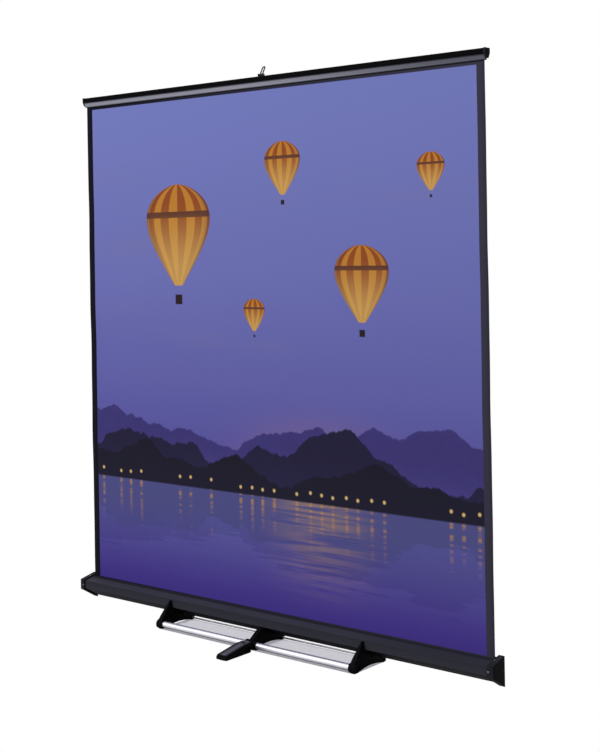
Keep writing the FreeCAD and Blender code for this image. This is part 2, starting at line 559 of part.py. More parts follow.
def foot(label, x, boss_length, finned):
    """A moulded foot: saddle for the case, front boss, arch and rear toe, and a fin where it is finned."""
    body = piece(label, x)
    half_web = "dims.foot_web / 2"
    reach = "dims.foot_boss / 2 * sqrt(0.5)"
    heel = f"{BOSS_Y} + dims.foot_boss / 4"
    brow = "dims.fin_rise" if finned else "dims.nose_rise"
    outline = [("-dims.case_front - dims.fin_depth", brow), (f"{BOSS_Y} - {reach}", f"{BOSS_Z} + {reach}"),
               (heel, "dims.pad_thick"), (TOE_Y, "dims.pad_thick"), (TOE_Y, "dims.toe_rise"),
               (CASE_REAR, CASE_HEEL), ("-dims.case_front", "dims.nose_rise")]
    if finned:
        outline.append(("-dims.case_front", brow))
    prism(body, "YZ_Plane", f"-{half_web}", "dims.foot_web", polygon(*outline))
    soften(body, "dims.toe_round",
           lambda edge: runs_along(edge, 0) and near(edge.firstVertex().Y, TOE_Y)
           and near(edge.firstVertex().Z, "dims.toe_rise"))
    if finned:
        above = "dims.fin_rise + dims.slip"
        outside = f"{half_web} + dims.foot_web"
        taper = [("dims.fin_width / 2", above), (half_web, "dims.fin_root"), (outside, "dims.fin_root"),
                 (outside, above)]
        prism(body, "XZ_Plane", BOSS_Y, "dims.case_front + dims.foot_lead", polygon(*taper),
              polygon(*[(f"-({across})", up) for across, up in taper]), cut=True)
    soften(body, "dims.foot_edge", down_the_fin)

    prism(body, "YZ_Plane", f"-({boss_length}) / 2", boss_length, circle(BOSS_Y, BOSS_Z, "dims.foot_boss"))
    soften(body, "dims.foot_edge",
           lambda edge: len(edge.Vertexes) == 1 and near(abs(edge.firstVertex().X), f"({boss_length}) / 2"))
    chord = f"({TOE_Y} - dims.toe_length - {BOSS_Y} - dims.arch_front)"
    radius = f"(({chord} * {chord} / 4 + dims.arch_rise * dims.arch_rise) / (2 * dims.arch_rise))"
    prism(body, "YZ_Plane", f"-({boss_length}) / 2", boss_length,
          circle(f"{BOSS_Y} + dims.arch_front + {chord} / 2", f"dims.pad_thick + dims.arch_rise - {radius}",
                 f"2 * {radius}"), cut=True)
    prism(body, "YZ_Plane", f"-({boss_length}) / 2", boss_length,
          rectangle(f"{BOSS_Y} - dims.foot_boss", f"{BOSS_Y} + dims.foot_boss / 2", "-dims.pad_thick",
                    "dims.pad_thick"), cut=True)
    for across, up, tube in ((BOSS_Y, BOSS_Z, "dims.front_tube"),
                             (REAR_TUBE_Y, "dims.rear_tube_rise", "dims.rear_tube")):
        prism(body, "YZ_Plane", f"-({boss_length}) / 2", boss_length, circle(across, up, tube), cut=True)
    return body


def build_stand():
    places = (("left", "-dims.foot_spread", "dims.boss_length"), ("centre", "0", "dims.hub_length"),
              ("right", "dims.foot_spread", "dims.boss_length"))
    bolt_tip = "-dims.case_front - dims.bolt_grip"
    bolt_z = "dims.fin_rise - dims.bolt_drop"
    front_pads, rear_pads, bolts = [], [], []
    for name, x, boss_length in places:
        finned = name != "centre"
        body = foot(f"{name}_foot", x, boss_length, finned)
        for pads, middle in ((front_pads, BOSS_Y), (rear_pads, f"{TOE_Y} - dims.toe_length / 2")):
            pad = piece(f"{name}_pad", x)
            prism(pad, "XY_Plane", "0", "dims.pad_thick",
                  rectangle("-dims.pad_width / 2", "dims.pad_width / 2", f"{middle} - dims.pad_length / 2",
                            f"{middle} + dims.pad_length / 2"))
            pads.append(pad)
        if not finned:
            add_tongue(body)
            continue
        prism(body, "XZ_Plane", bolt_tip, "dims.bolt_grip", circle("0", bolt_z, "dims.bolt_shank"), cut=True)
        bolt = piece(f"{name}_bolt", x)
        prism(bolt, "XZ_Plane", bolt_tip, "dims.bolt_grip + dims.case_wall",
              circle("0", bolt_z, "dims.bolt_shank"))
        prism(bolt, "XZ_Plane", "dims.case_wall - dims.case_front", "dims.screw_rise",
              circle("0", bolt_z, "dims.bolt_head"))
        bolts.append(bolt)
        prism(doc.getObject("case_shell"), "XZ_Plane", "-dims.case_front", "dims.case_wall",
              circle(x, bolt_z, "dims.bolt_shank"), cut=True)
    group("front_foot_pads", *front_pads)
    group("rear_foot_pads", *rear_pads)
    group("case_bolts", *bolts)

    plugs = []
    for name, across, up, tube in (("front", BOSS_Y, BOSS_Z, "dims.front_tube"),
                                   ("rear", REAR_TUBE_Y, "dims.rear_tube_rise", "dims.rear_tube")):
        end = "(dims.foot_spread + dims.boss_length / 2)" if name == "front" else \
            "(dims.foot_spread + dims.foot_web / 2)"
        bore = f"{tube} - 2 * dims.tube_wall"
        rod(f"{name}_cross_tube", "YZ_Plane", across, up, f"-{end}", f"2 * {end}", tube, bore)
        for side in (-1, 1):
            start = span(side, f"{end} - dims.plug_depth", "dims.plug_depth")
            plug = rod(f"{name}_plug", "YZ_Plane", across, up, start, "dims.plug_depth", bore)
            prism(plug, "YZ_Plane", span(side, end, "dims.plug_head"), "dims.plug_head",
                  circle(across, up, tube))
            plugs.append(plug)
    group("tube_plugs", *plugs)


def add_tongue(body):
    """The tongue ahead of the centre foot that the swing leg turns on."""
    root = f"{BOSS_Y} - dims.front_tube / 2 - dims.tube_wall"
    prism(body, "XY_Plane", "dims.tongue_rise", "dims.tongue_thick",
          rectangle("-dims.tongue_width / 2", "dims.tongue_width / 2", PIVOT_Y, root))
    prism(body, "XY_Plane", "dims.tongue_rise", "dims.tongue_thick",
          circle("0", PIVOT_Y, "dims.tongue_width"))
    prism(body, "XY_Plane", "dims.tongue_rise", "dims.tongue_thick", circle("0", PIVOT_Y, "dims.pivot_pin"),
          cut=True)


def build_leg():
    leg = piece("swing_leg")
    half = "dims.leg_width / 2"
    heel = f"{PIVOT_Y} + {half}"
    knee = f"{PIVOT_Y} - dims.leg_knee"
    slope = f"{LEG_TIP_Y} + dims.leg_toe_slope"
    prism(leg, "XY_Plane", "dims.pad_thick", "dims.leg_heel_rise - dims.pad_thick",
          rectangle(f"-{half}", half, LEG_TIP_Y, heel))
    soften(leg, f"{half} - dims.slip", lambda edge: runs_along(edge, 2) and near(edge.firstVertex().Y, heel))
    soften(leg, "dims.leg_toe_round",
           lambda edge: runs_along(edge, 2) and near(edge.firstVertex().Y, LEG_TIP_Y))
    above = "2 * dims.leg_heel_rise"
    prism(leg, "YZ_Plane", f"-{half}", "dims.leg_width",
          polygon((heel, "dims.leg_heel_rise"), (knee, "dims.leg_knee_rise"), (slope, "dims.leg_toe_rise"),
                  (LEG_TIP_Y, "dims.leg_toe_rise / 2"),
                  (f"{LEG_TIP_Y} - dims.leg_gap", "dims.leg_toe_rise / 2"),
                  (f"{LEG_TIP_Y} - dims.leg_gap", above), (heel, above)), cut=True)
    soften(leg, "dims.leg_edge", lambda edge: edge.BoundBox.ZMin > value("dims.leg_toe_rise / 2 - dims.slip"))
    prism(leg, "YZ_Plane", f"-{half}", "dims.leg_width",
          rectangle(f"{PIVOT_Y} - dims.tongue_width / 2 - dims.leg_gap", f"{heel} + dims.leg_gap",
                    "dims.tongue_rise - dims.slip", f"{TONGUE_TOP} + dims.slip"), cut=True)
    web = f"{PIVOT_Y} - dims.tongue_width / 2 - dims.leg_gap - dims.leg_wall"
    solid = f"{LEG_TIP_Y} + dims.leg_solid"
    prism(leg, "YZ_Plane", f"dims.leg_wall - {half}", "dims.leg_width - 2 * dims.leg_wall",
          polygon((web, "-dims.pad_thick"), (solid, "-dims.pad_thick"),
                  (solid, "dims.leg_toe_rise - dims.leg_roof"), (web, "dims.leg_knee_rise - dims.leg_roof")),
          cut=True)
    prism(leg, "XY_Plane", "-dims.pad_thick", "dims.leg_heel_rise + 2 * dims.pad_thick",
          circle("0", PIVOT_Y, "dims.pivot_pin + 2 * dims.fit"), cut=True)
    seat = "dims.leg_knee_rise - dims.pivot_head_thick"
    prism(leg, "XY_Plane", seat, "dims.leg_heel_rise",
          circle("0", PIVOT_Y, "dims.pivot_head + 2 * dims.slip"), cut=True)

    bolt = rod("leg_pivot_bolt", "XY_Plane", "0", PIVOT_Y, "2 * dims.pad_thick",
               f"{seat} - 2 * dims.pad_thick", "dims.pivot_pin")
    prism(bolt, "XY_Plane", f"{seat} + dims.slip", "dims.pivot_head_thick",
          circle("0", PIVOT_Y, "dims.pivot_head"))
    prism(bolt, "XY_Plane", seat, "dims.slip", circle("0", PIVOT_Y, "dims.pivot_pin"))

    pad = piece("leg_pad")
    prism(pad, "XY_Plane", "0", "dims.pad_thick",
          rectangle("-dims.pad_width / 2", "dims.pad_width / 2", f"{LEG_TIP_Y} + 2 * dims.pad_thick",
                    f"{LEG_TIP_Y} + 2 * dims.pad_thick + dims.pad_length"))


# Mast behind the screen

def build_mast():
    socket = piece("mast_socket")
    prism(socket, "XY_Plane", "dims.socket_clear", "dims.socket_height",
          circle("0", MAST_Y, "dims.socket_outer"))
    prism(socket, "XY_Plane", "dims.socket_clear", "dims.socket_height",
          rectangle("-dims.socket_outer / 2", "dims.socket_outer / 2", CASE_REAR, MAST_Y))
    low = f"({NOSE_MID} - dims.flange_height / 2)"
    prism(socket, "XY_Plane", low, "dims.flange_height",
          rectangle("-dims.flange_width / 2", "dims.flange_width / 2", CASE_REAR,
                    f"{CASE_REAR} + dims.flange_thick"))
    prism(socket, "XY_Plane", MAST_FOOT, "dims.socket_height", circle("0", MAST_Y, "dims.mast_outer"),
          cut=True)
    screws = []
    grip = "dims.flange_thick + dims.case_wall"
    shell = doc.getObject("case_shell")
    for side in (-1, 1):
        for level in (-1, 1):
            across = f"{side} * (dims.flange_width / 4 + dims.socket_outer / 4)"
            up = f"{NOSE_MID} + {level} * dims.flange_height / 4"
            prism(socket, "XZ_Plane", CASE_REAR, "dims.flange_thick", circle(across, up, "dims.screw_shank"),
                  cut=True)
            prism(shell, "XZ_Plane", f"{CASE_REAR} - dims.case_wall", "dims.case_wall",
                  circle(across, up, "dims.screw_shank"), cut=True)
            screws.append(pan_screw("socket_screw", "XZ_Plane", across, up,
                                    f"{CASE_REAR} + dims.flange_thick", 1, grip))
    group("socket_screws", *screws)

    middle_foot = f"({LOWER_TOP} - dims.mast_lap)"
    upper_foot = "(dims.mast_middle_top - dims.mast_lap)"
    rod("mast_lower", "XY_Plane", "0", MAST_Y, MAST_FOOT, "dims.mast_lower_length", "dims.mast_outer",
        LOWER_BORE)
    rod("mast_middle", "XY_Plane", "0", MAST_Y, middle_foot, f"dims.mast_middle_top - {middle_foot}",
        MIDDLE_OUTER, MIDDLE_BORE)
    rod("mast_upper", "XY_Plane", "0", MAST_Y, upper_foot, f"{UPPER_TOP} - {upper_foot}", UPPER_OUTER,
        UPPER_BORE)
    for name, foot_z, outer in (("middle", middle_foot, MIDDLE_OUTER), ("upper", upper_foot, UPPER_OUTER)):
        rod(f"{name}_glide", "XY_Plane", "0", MAST_Y, f"{foot_z} - dims.glide_length", "dims.glide_length",
            outer, f"{outer} - 4 * dims.mast_wall")

    for name, top, outer, bore in (("lower", LOWER_TOP, "dims.mast_outer", LOWER_BORE),
                                   ("upper", "dims.mast_middle_top", MIDDLE_OUTER, MIDDLE_BORE)):
        build_collar(name, top, outer, bore)
    build_hook()


def build_collar(name, top, outer, bore):
    """A collar pressed over the top of one tube that clamps the tube sliding inside it."""
    half = "dims.collar_height / 2"
    axis_z = f"{top} + {half} / 2"
    collar = piece(f"{name}_collar")
    prism(collar, "XY_Plane", f"{top} - {half}", "dims.collar_height",
          circle("0", MAST_Y, "dims.collar_outer"))
    prism(collar, "YZ_Plane", "0", "dims.collar_reach", circle(MAST_Y, axis_z, "dims.collar_boss"))
    soften(collar, "dims.foot_edge",
           lambda edge: len(edge.Vertexes) == 1 and near(edge.firstVertex().Z, f"{top} + {half}"))
    prism(collar, "XY_Plane", f"{top} - {half}", half, circle("0", MAST_Y, outer), cut=True)
    prism(collar, "XY_Plane", f"{top} - {half}", "dims.collar_height", circle("0", MAST_Y, bore), cut=True)
    prism(collar, "YZ_Plane", "0", "dims.collar_reach",
          circle(MAST_Y, axis_z, "dims.knob_shank + 2 * dims.fit"), cut=True)

    knob = piece(f"{name}_knob")
    head = "(dims.collar_reach + dims.slip)"
    tip = f"({bore} / 2)"
    prism(knob, "YZ_Plane", head, "dims.knob_thick", circle(MAST_Y, axis_z, "dims.knob_head"))
    soften(knob, "dims.foot_edge", lambda edge: len(edge.Vertexes) == 1)
    ring = "(dims.knob_head / 2 + dims.knob_scallop / 4)"
    for scallop in range(int(value("dims.knob_count"))):
        angle = f"({scallop} * 360 / dims.knob_count)"
        across = f"{MAST_Y} + {ring} * cos({angle})"
        up = f"{axis_z} + {ring} * sin({angle})"
        prism(knob, "YZ_Plane", head, "dims.knob_thick", circle(across, up, "dims.knob_scallop"), cut=True)
    prism(knob, "YZ_Plane", tip, f"{head} - {tip}", circle(MAST_Y, axis_z, "dims.knob_shank"))


def build_hook():
    """The hook on top of the mast, whose lip stands under the rail's hanger."""
    hook = piece("mast_hook")
    arm = f"({UPPER_TOP} + dims.hook_arm / 4)"
    prism(hook, "XY_Plane", f"{UPPER_TOP} - dims.glide_length", "dims.glide_length",
          circle("0", MAST_Y, UPPER_BORE))
    prism(hook, "XY_Plane", UPPER_TOP, f"{arm} + dims.hook_arm - {UPPER_TOP}",
          circle("0", MAST_Y, UPPER_OUTER))
    prism(hook, "YZ_Plane", "-dims.hook_width / 2", "dims.hook_width",
          polygon((MAST_Y, arm), (MAST_Y, f"{arm} + dims.hook_arm"), (f"{HOOK_Y} + dims.hook_lip",
                  f"{arm} + dims.hook_arm"), (f"{HOOK_Y} + dims.hook_lip", f"{HANGER_Z} - dims.slip"),
                  (HOOK_Y, f"{HANGER_Z} - dims.slip"), (HOOK_Y, arm)))


build_case()
build_roller()
build_screen()
build_bail()
build_hanger()
build_stand()
build_leg()
build_mast()
doc.recompute()

for thing in doc.Objects:
    if "Invalid" in thing.State or "Error" in thing.State:
        raise RuntimeError(f"{thing.Label} failed: {thing.State}")
for node in PIECES:
    if node.Shape.isNull() or not node.Shape.isValid() or not node.Shape.Solids:
        raise RuntimeError(f"{node.Label} has no valid solid")

os.makedirs("parts", exist_ok=True)
for node in PIECES:
    node.Shape.exportStep(f"parts/{node.Label}.step")
print(len(PIECES), "nodes")
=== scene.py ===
import json
import math

import bmesh
import bpy
from mathutils import Matrix, Vector


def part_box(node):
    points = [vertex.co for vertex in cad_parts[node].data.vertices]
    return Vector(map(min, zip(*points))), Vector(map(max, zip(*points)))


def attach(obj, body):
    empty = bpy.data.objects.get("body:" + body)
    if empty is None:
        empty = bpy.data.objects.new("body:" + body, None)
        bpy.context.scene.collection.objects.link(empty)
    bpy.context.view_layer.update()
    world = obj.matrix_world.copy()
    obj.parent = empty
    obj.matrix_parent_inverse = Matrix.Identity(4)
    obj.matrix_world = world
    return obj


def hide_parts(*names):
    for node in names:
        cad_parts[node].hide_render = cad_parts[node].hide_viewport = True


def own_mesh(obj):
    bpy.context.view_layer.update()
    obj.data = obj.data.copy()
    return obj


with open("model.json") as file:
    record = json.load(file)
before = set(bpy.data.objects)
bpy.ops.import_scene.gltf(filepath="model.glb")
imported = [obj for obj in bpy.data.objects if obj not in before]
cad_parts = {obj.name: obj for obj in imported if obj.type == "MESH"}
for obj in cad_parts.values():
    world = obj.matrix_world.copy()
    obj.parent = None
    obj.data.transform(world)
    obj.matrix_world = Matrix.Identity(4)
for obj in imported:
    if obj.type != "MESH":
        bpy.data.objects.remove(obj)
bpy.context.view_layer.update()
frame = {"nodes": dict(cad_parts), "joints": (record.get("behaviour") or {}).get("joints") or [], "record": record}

# Camera, as the photograph saw the screen: pixels of its 600 by 752 frame, metres, degrees, and the
# sensor in millimetres
FRAME_HEIGHT = 752
FOCAL_PIXELS = 1346
HORIZON_PIXEL = 250
CAMERA_PLACE = (4.147, -4.626, 1.837)
CAMERA_YAW = 39.56
CAMERA_ROLL = -1.01
SENSOR = 36

# Screen cloth, in metres, and the cells of its mesh each way
SIDE_BORDER = 0.040
TOP_BORDER = 0.024
FOOT_BORDER = 0.044
THREAD_PITCH = 0.0016
FLUTTER = 0.0014
CLOTH_CELLS = 96
# Waves of the flutter: share of its size, swing up the cloth and swing across it
FLUTTER_WAVES = ((1, 21, 1.7), (0.5, 47, -2.3))
# Soft edge of the picture, as a share of its width or height
PICTURE_EDGE = 0.0007

# Upright front face of the case above the floor, in metres: the painted reflection of the bright floor is full at
# its low edge and gone at its high edge
FACE_LOW = 0.088
FACE_HIGH = 0.130

# Where the dust and painted light on top of the case start to dim and where they are dimmest, along the case in
# metres
TOP_LIGHT_DIMS = 0.25
TOP_LIGHT_DIMMEST = 0.95

# Satin band along the rail's flanks, carrying a painted grey highlight, in metres above its underside
HIGHLIGHT_START = -0.003
HIGHLIGHT_FULL = 0.0105
HIGHLIGHT_FADE = 0.0155
HIGHLIGHT_END = 0.0255
# Where the band's painted highlight starts to dim, in half lengths of the rail
HIGHLIGHT_DIMS_FROM = -0.2

# Fastener heads, in metres
HEAD_WIDTH = 0.009
HEAD_RISE = 0.0025
HEAD_SIDES = 32
HEAD_ROUNDING = 0.45 * HEAD_RISE
DRIVE_SLOT = 0.0016
DRIVE_DEPTH = 0.0012
# Upward part of a normal from which a face counts as the flat top
FLAT = 0.99

# Sockets of a colour Mix node, which have no names of their own
MIX_FACTOR = 0
MIX_FIRST = 6
MIX_SECOND = 7
MIX_RESULT = 2


class Tone:
    """A node's output that reads like a number: arithmetic on it adds Math nodes."""

    def __init__(self, board, socket):
        self.board = board
        self.socket = socket

    def __add__(self, other):
        return self.board.math("ADD", self, other)

    def __radd__(self, other):
        return self.board.math("ADD", other, self)

    def __sub__(self, other):
        return self.board.math("SUBTRACT", self, other)

    def __rsub__(self, other):
        return self.board.math("SUBTRACT", other, self)

    def __mul__(self, other):
        return self.board.math("MULTIPLY", self, other)

    def __rmul__(self, other):
        return self.board.math("MULTIPLY", other, self)

    def __truediv__(self, other):
        return self.board.math("DIVIDE", self, other)

    def __pow__(self, other):
        return self.board.math("POWER", self, other)

    def __abs__(self):
        return self.board.math("ABSOLUTE", self)


class Board:
    """The nodes of one material, or of the world."""

    def __init__(self, tree):
        self.tree = tree
        tree.nodes.clear()

    def node(self, kind, settings=None, sockets=None, output=0):
        """Add a node, set it up, feed its sockets and hand back one of its outputs."""
        made = self.tree.nodes.new(kind)
        for name, setting in (settings or {}).items():
            if name == "stops":
                self.fill_ramp(made.color_ramp, setting)
            else:
                setattr(made, name, setting)
        for name, value in (sockets or {}).items():
            if isinstance(value, Tone):
                self.tree.links.new(value.socket, made.inputs[name])
            else:
                made.inputs[name].default_value = value
        return Tone(self, made.outputs[output]) if made.outputs else None

    def fill_ramp(self, ramp, stops):
        while len(ramp.elements) < len(stops):
            ramp.elements.new(1)
        for element, (position, colour) in zip(ramp.elements, stops):
            element.position = position
            element.color = colour

    def math(self, operation, *values):
        return self.node("ShaderNodeMath", {"operation": operation}, dict(enumerate(values)))

    def place(self):
        """Object coordinates, which are metres in the shared frame."""
        return self.node("ShaderNodeTexCoord", output="Object")

    def split(self, vector):
        """The three numbers of a vector."""
        parts = self.node("ShaderNodeSeparateXYZ", sockets={"Vector": vector})
        return [Tone(self, socket) for socket in parts.socket.node.outputs]

    def join(self, x, y):
        return self.node("ShaderNodeCombineXYZ", sockets={"X": x, "Y": y})

    def noise(self, vector, stretch, detail=2, roughness=0.5):
        """Noise from 0 to 1 with so many grains to the unit along each axis."""
        spread = self.node("ShaderNodeMapping", {"vector_type": "POINT"}, {"Vector": vector, "Scale": stretch})
        return self.node("ShaderNodeTexNoise", None,
                         {"Vector": spread, "Scale": 1, "Detail": detail, "Roughness": roughness}, "Fac")

    def wander(self, along, detail, roughness):
        """Noise along one number, for outlines that rise and fall."""
        return self.node("ShaderNodeTexNoise", {"noise_dimensions": "1D"},
                         {"W": along, "Scale": 1, "Detail": detail, "Roughness": roughness}, "Fac")

    def rise(self, tone, low, high):
        """A soft step from 0 at low to 1 at high."""
        return self.node("ShaderNodeMapRange", {"interpolation_type": "SMOOTHSTEP"},
                         {"Value": tone, "From Min": low, "From Max": high})

    def drawn(self, depth):
        """1 inside a shape of the picture and 0 outside, from the depth below its outline."""
        return self.rise(depth, 0.0, DRAWN_EDGE)

    def clip(self, tone):
        """A number held between 0 and 1."""
        return self.node("ShaderNodeClamp", None, {"Value": tone})

    def blend(self, factor, first, second):
        return self.node("ShaderNodeMix", {"data_type": "RGBA"},
                         {MIX_FACTOR: factor, MIX_FIRST: first, MIX_SECOND: second}, MIX_RESULT)

    def watched(self):
        """1 where the camera looks, or where a shiny or clear piece shows what is behind it, and else 0."""
        kinds = ("Is Camera Ray", "Is Glossy Ray", "Is Transmission Ray")
        camera, glossy, clear = [self.node("ShaderNodeLightPath", output=kind) for kind in kinds]
        return self.clip(camera + glossy + clear)

    def openness(self, reach):
        """How much of the room above a point is free of pieces within reach."""
        return self.node("ShaderNodeAmbientOcclusion", None, {"Distance": reach}, "AO")

    def surface(self, sockets, height=None, depth=0.0001, strength=0.5):
        """The shader and the material's output, with relief from height where it is given."""
        if height is not None:
            sockets["Normal"] = self.node("ShaderNodeBump", None,
                                          {"Height": height, "Distance": depth, "Strength": strength})
        shader = self.node("ShaderNodeBsdfPrincipled", None, sockets, "BSDF")
        self.node("ShaderNodeOutputMaterial", None, {"Surface": shader})


def shade(red, green, blue):
    """A colour as a screen shows it, 0 to 255, in the linear numbers of a socket."""
    def linear(level):
        share = level / 255
        return share / 12.92 if share <= 0.04045 else ((share + 0.055) / 1.055) ** 2.4
    return (linear(red), linear(green), linear(blue), 1)


def finish(name):
    material = bpy.data.materials.new(name)
    material.use_nodes = True
    return material, Board(material.node_tree)


# Finishes of the rigid pieces

def case_enamel():
    material, board = finish("case_enamel")
    place = board.place()
    drawn = board.noise(place, (1.5, 260, 260), detail=3)
    drift = board.noise(place, (4, 7, 7), detail=4)
    speck = board.noise(place, (900, 900, 900), detail=2)
    scuff = board.rise(board.noise(place, (60, 420, 420), detail=5, roughness=0.7), 0.66, 0.74)
    along, _, height = board.split(place)
    upward = board.split(board.node("ShaderNodeNewGeometry", output="Normal"))[2]
    # Painted reflection of the floor: the upright front is painted lighter towards its foot
    colour = board.blend(board.rise(height, FACE_LOW, FACE_HIGH), shade(53, 53, 62), shade(47, 47, 56))
    colour = board.blend(drift * 0.4 + scuff * 0.3, colour, shade(58, 58, 67))
    # Top faces are painted lighter: dust in patches, and painted light from above that dims towards the right end
    dust = board.blend(board.rise(along, TOP_LIGHT_DIMS, TOP_LIGHT_DIMMEST), shade(62, 61, 72), shade(52, 52, 61))
    colour = board.blend(board.rise(upward, 0.3, 0.95) * (0.6 + drift * 0.6), colour, dust)
    # Painted shade: faces that look down are painted darker
    colour = board.blend(board.rise(upward, -0.3, -0.8), colour, shade(24, 24, 33))
    board.surface({"Base Color": colour, "Roughness": 0.42 + drawn * 0.12 + drift * 0.08,
                   "Specular IOR Level": 0.02}, speck + drawn * 0.6, depth=0.00006)
    return material


def rail_enamel():
    """Black enamel, satin along the flanks, with a painted grey highlight there that dims towards one end."""
    material, board = finish("rail_enamel")
    low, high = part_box("top_rail")
    place = board.place()
    along, _, height = board.split(place)
    band = (board.rise(height, low.z + HIGHLIGHT_START, low.z + HIGHLIGHT_FULL)
            * (1 - board.rise(height, low.z + HIGHLIGHT_FADE, low.z + HIGHLIGHT_END)))
    drawn = board.noise(place, (1.2, 420, 420), detail=4)
    drift = board.noise(place, (3, 9, 9), detail=3)
    black = board.blend(drift, shade(3, 3, 5), shade(6, 6, 8))
    # The band's grey is a painted highlight, dimmer towards the right end of the rail
    highlight_grey = board.blend(drawn, shade(138, 138, 151), shade(158, 158, 171))
    dimmed_highlight = board.blend(board.rise(along, HIGHLIGHT_DIMS_FROM * high.x, high.x), highlight_grey, shade(92, 92, 104))
    board.surface({"Base Color": board.blend(band, black, dimmed_highlight),
                   "Roughness": 0.55 - band * 0.14 + drift * 0.08,
                   "Metallic": band * 0.6, "Specular IOR Level": 0.02}, drawn, depth=0.00005)
    return material


def moulding(name, dark, light, gloss, top_highlight=None, highlight_node=None, end_shade=None):
    """Spark-eroded moulding with a fine grain, with a painted highlight along the middle of a node's top and
    painted shade on the end faces, where these are given.
    """
    material, board = finish(name)
    place = board.place()
    grain = board.noise(place, (1900, 1900, 1900), detail=2)
    pitted = board.noise(place, (520, 520, 520), detail=3)
    drift = board.noise(place, (14, 14, 14), detail=4, roughness=0.6)
    colour = board.blend(drift, dark, light)
    sideways, _, upward = board.split(board.node("ShaderNodeNewGeometry", output="Normal"))
    if top_highlight:
        low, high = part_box(highlight_node)
        aside = abs(board.split(place)[0] - (low.x + high.x) / 2) / ((high.x - low.x) / 2)
        # Painted highlight along the middle of the top face
        painted_highlight = board.rise(upward, 0.94, 0.98) * (1 - board.rise(aside, 0.1, 0.85)) * (0.75 + drift * 0.5)
        colour = board.blend(painted_highlight, colour, top_highlight)
    if end_shade:
        # Painted shade: faces towards the ends are painted near black
        colour = board.blend(board.rise(abs(sideways), 0.6, 0.9), colour, end_shade)
    board.surface({"Base Color": colour, "Roughness": gloss + drift * 0.14 + pitted * 0.08,
                   "Specular IOR Level": 0.025}, grain + pitted * 0.7, depth=0.00009)
    return material


def drawn_metal(name, dark, light, stretch, rough):
    """Bare drawn metal with fine lines along the tube and a few cloudy patches."""
    material, board = finish(name)
    place = board.place()
    lines = board.noise(place, stretch, detail=4, roughness=0.65)
    cloud = board.noise(place, (11, 11, 11), detail=4)
    nick = board.rise(board.noise(place, (90, 90, 90), detail=5, roughness=0.75), 0.68, 0.76)
    colour = board.blend(lines * 0.6 + cloud * 0.4, dark, light)
    board.surface({"Base Color": colour, "Metallic": 1.0,
                   "Roughness": rough + lines * 0.14 + cloud * 0.06 + nick * 0.12}, lines, depth=0.00003)
    return material


def plated_steel(name, dark, light, rough):
    """Plated steel with the faint bloom that plating has."""
    material, board = finish(name)
    place = board.place()
    bloom = board.noise(place, (160, 160, 160), detail=5, roughness=0.7)
    grit = board.noise(place, (1600, 1600, 1600), detail=2)
    board.surface({"Base Color": board.blend(bloom, dark, light), "Metallic": 1.0,
                   "Roughness": rough + bloom * 0.16}, grit, depth=0.00003)
    return material


def pad_rubber():
    material, board = finish("pad_rubber")
    place = board.place()
    grain = board.noise(place, (1400, 1400, 1400), detail=3)
    dust = board.noise(place, (70, 70, 70), detail=5, roughness=0.7)
    board.surface({"Base Color": board.blend(board.rise(dust, 0.5, 0.8), shade(16, 16, 16), shade(45, 44, 43)),
                   "Roughness": 0.78 + grain * 0.14, "Specular IOR Level": 0.25}, grain, depth=0.00012)
    return material


# Screen cloth and the dusk scene on it, whose places run from 0 to 1 across and up the picture

SKY_STOPS = ((0.22, shade(86, 76, 157)), (0.42, shade(99, 99, 173)), (0.65, shade(110, 114, 184)),
             (1.0, shade(116, 124, 192)))
HORIZON = 0.22
DRAWN_EDGE = 0.002
GLOW_PLACE = (0.63, 0.27)
GLOW_REACH = 0.46
GLEAM_REACH = 0.17
BANK_HALF = 0.004
# Ridges from far to near: foot, swing, peaks to the width, seed, colour above and in the mist below
RIDGES = ((0.350, 0.24, 2.3, 4.7, shade(58, 51, 113), shade(76, 67, 140)),
          (0.310, 0.20, 3.4, 11.3, shade(29, 26, 53), shade(39, 35, 71)),
          (0.275, 0.14, 4.6, 23.9, shade(20, 18, 32), shade(26, 24, 43)))
# Balloons: centre, crown and half-width, then how they taper and how many gores they show
BALLOONS = ((0.26, 0.83, 0.090), (0.55, 0.90, 0.045), (0.74, 0.70, 0.062), (0.90, 0.86, 0.030),
            (0.47, 0.60, 0.028))
BALLOON_TALL = 2.3
BALLOON_SWELL = 0.62
BALLOON_MOUTH = 0.13
BALLOON_GORES = 11
BALLOON_BAND = (0.30, 0.035)
# Basket in half-widths of the balloon: half its width, its top and its foot below the mouth
BASKET_HALF = 0.12
BASKET_TOP = 0.18
BASKET_FOOT = 0.42
# Lamps on the shore: places for them, share of dark ones, their core and rim, and those of their streaks
SHORE_LAMPS = 34
DARK_LAMPS = 0.40
LAMP_SIZE = (0.0014, 0.005)
STREAK_WIDTH = (0.0008, 0.0062)


def weave(board, across, up):
    """Plain weave: two sets of threads, one over the other."""
    warp, weft = [board.math("SINE", metres * (2 * math.pi / THREAD_PITCH)) for metres in (across, up)]
    return warp * weft * 0.5 + 0.5


def ridge_line(board, across, foot, swing, peaks, seed):
    """Height of a mountain outline over the picture's width."""
    return foot + swing * (board.wander(across * peaks + seed, 7, 0.52) - 0.5)


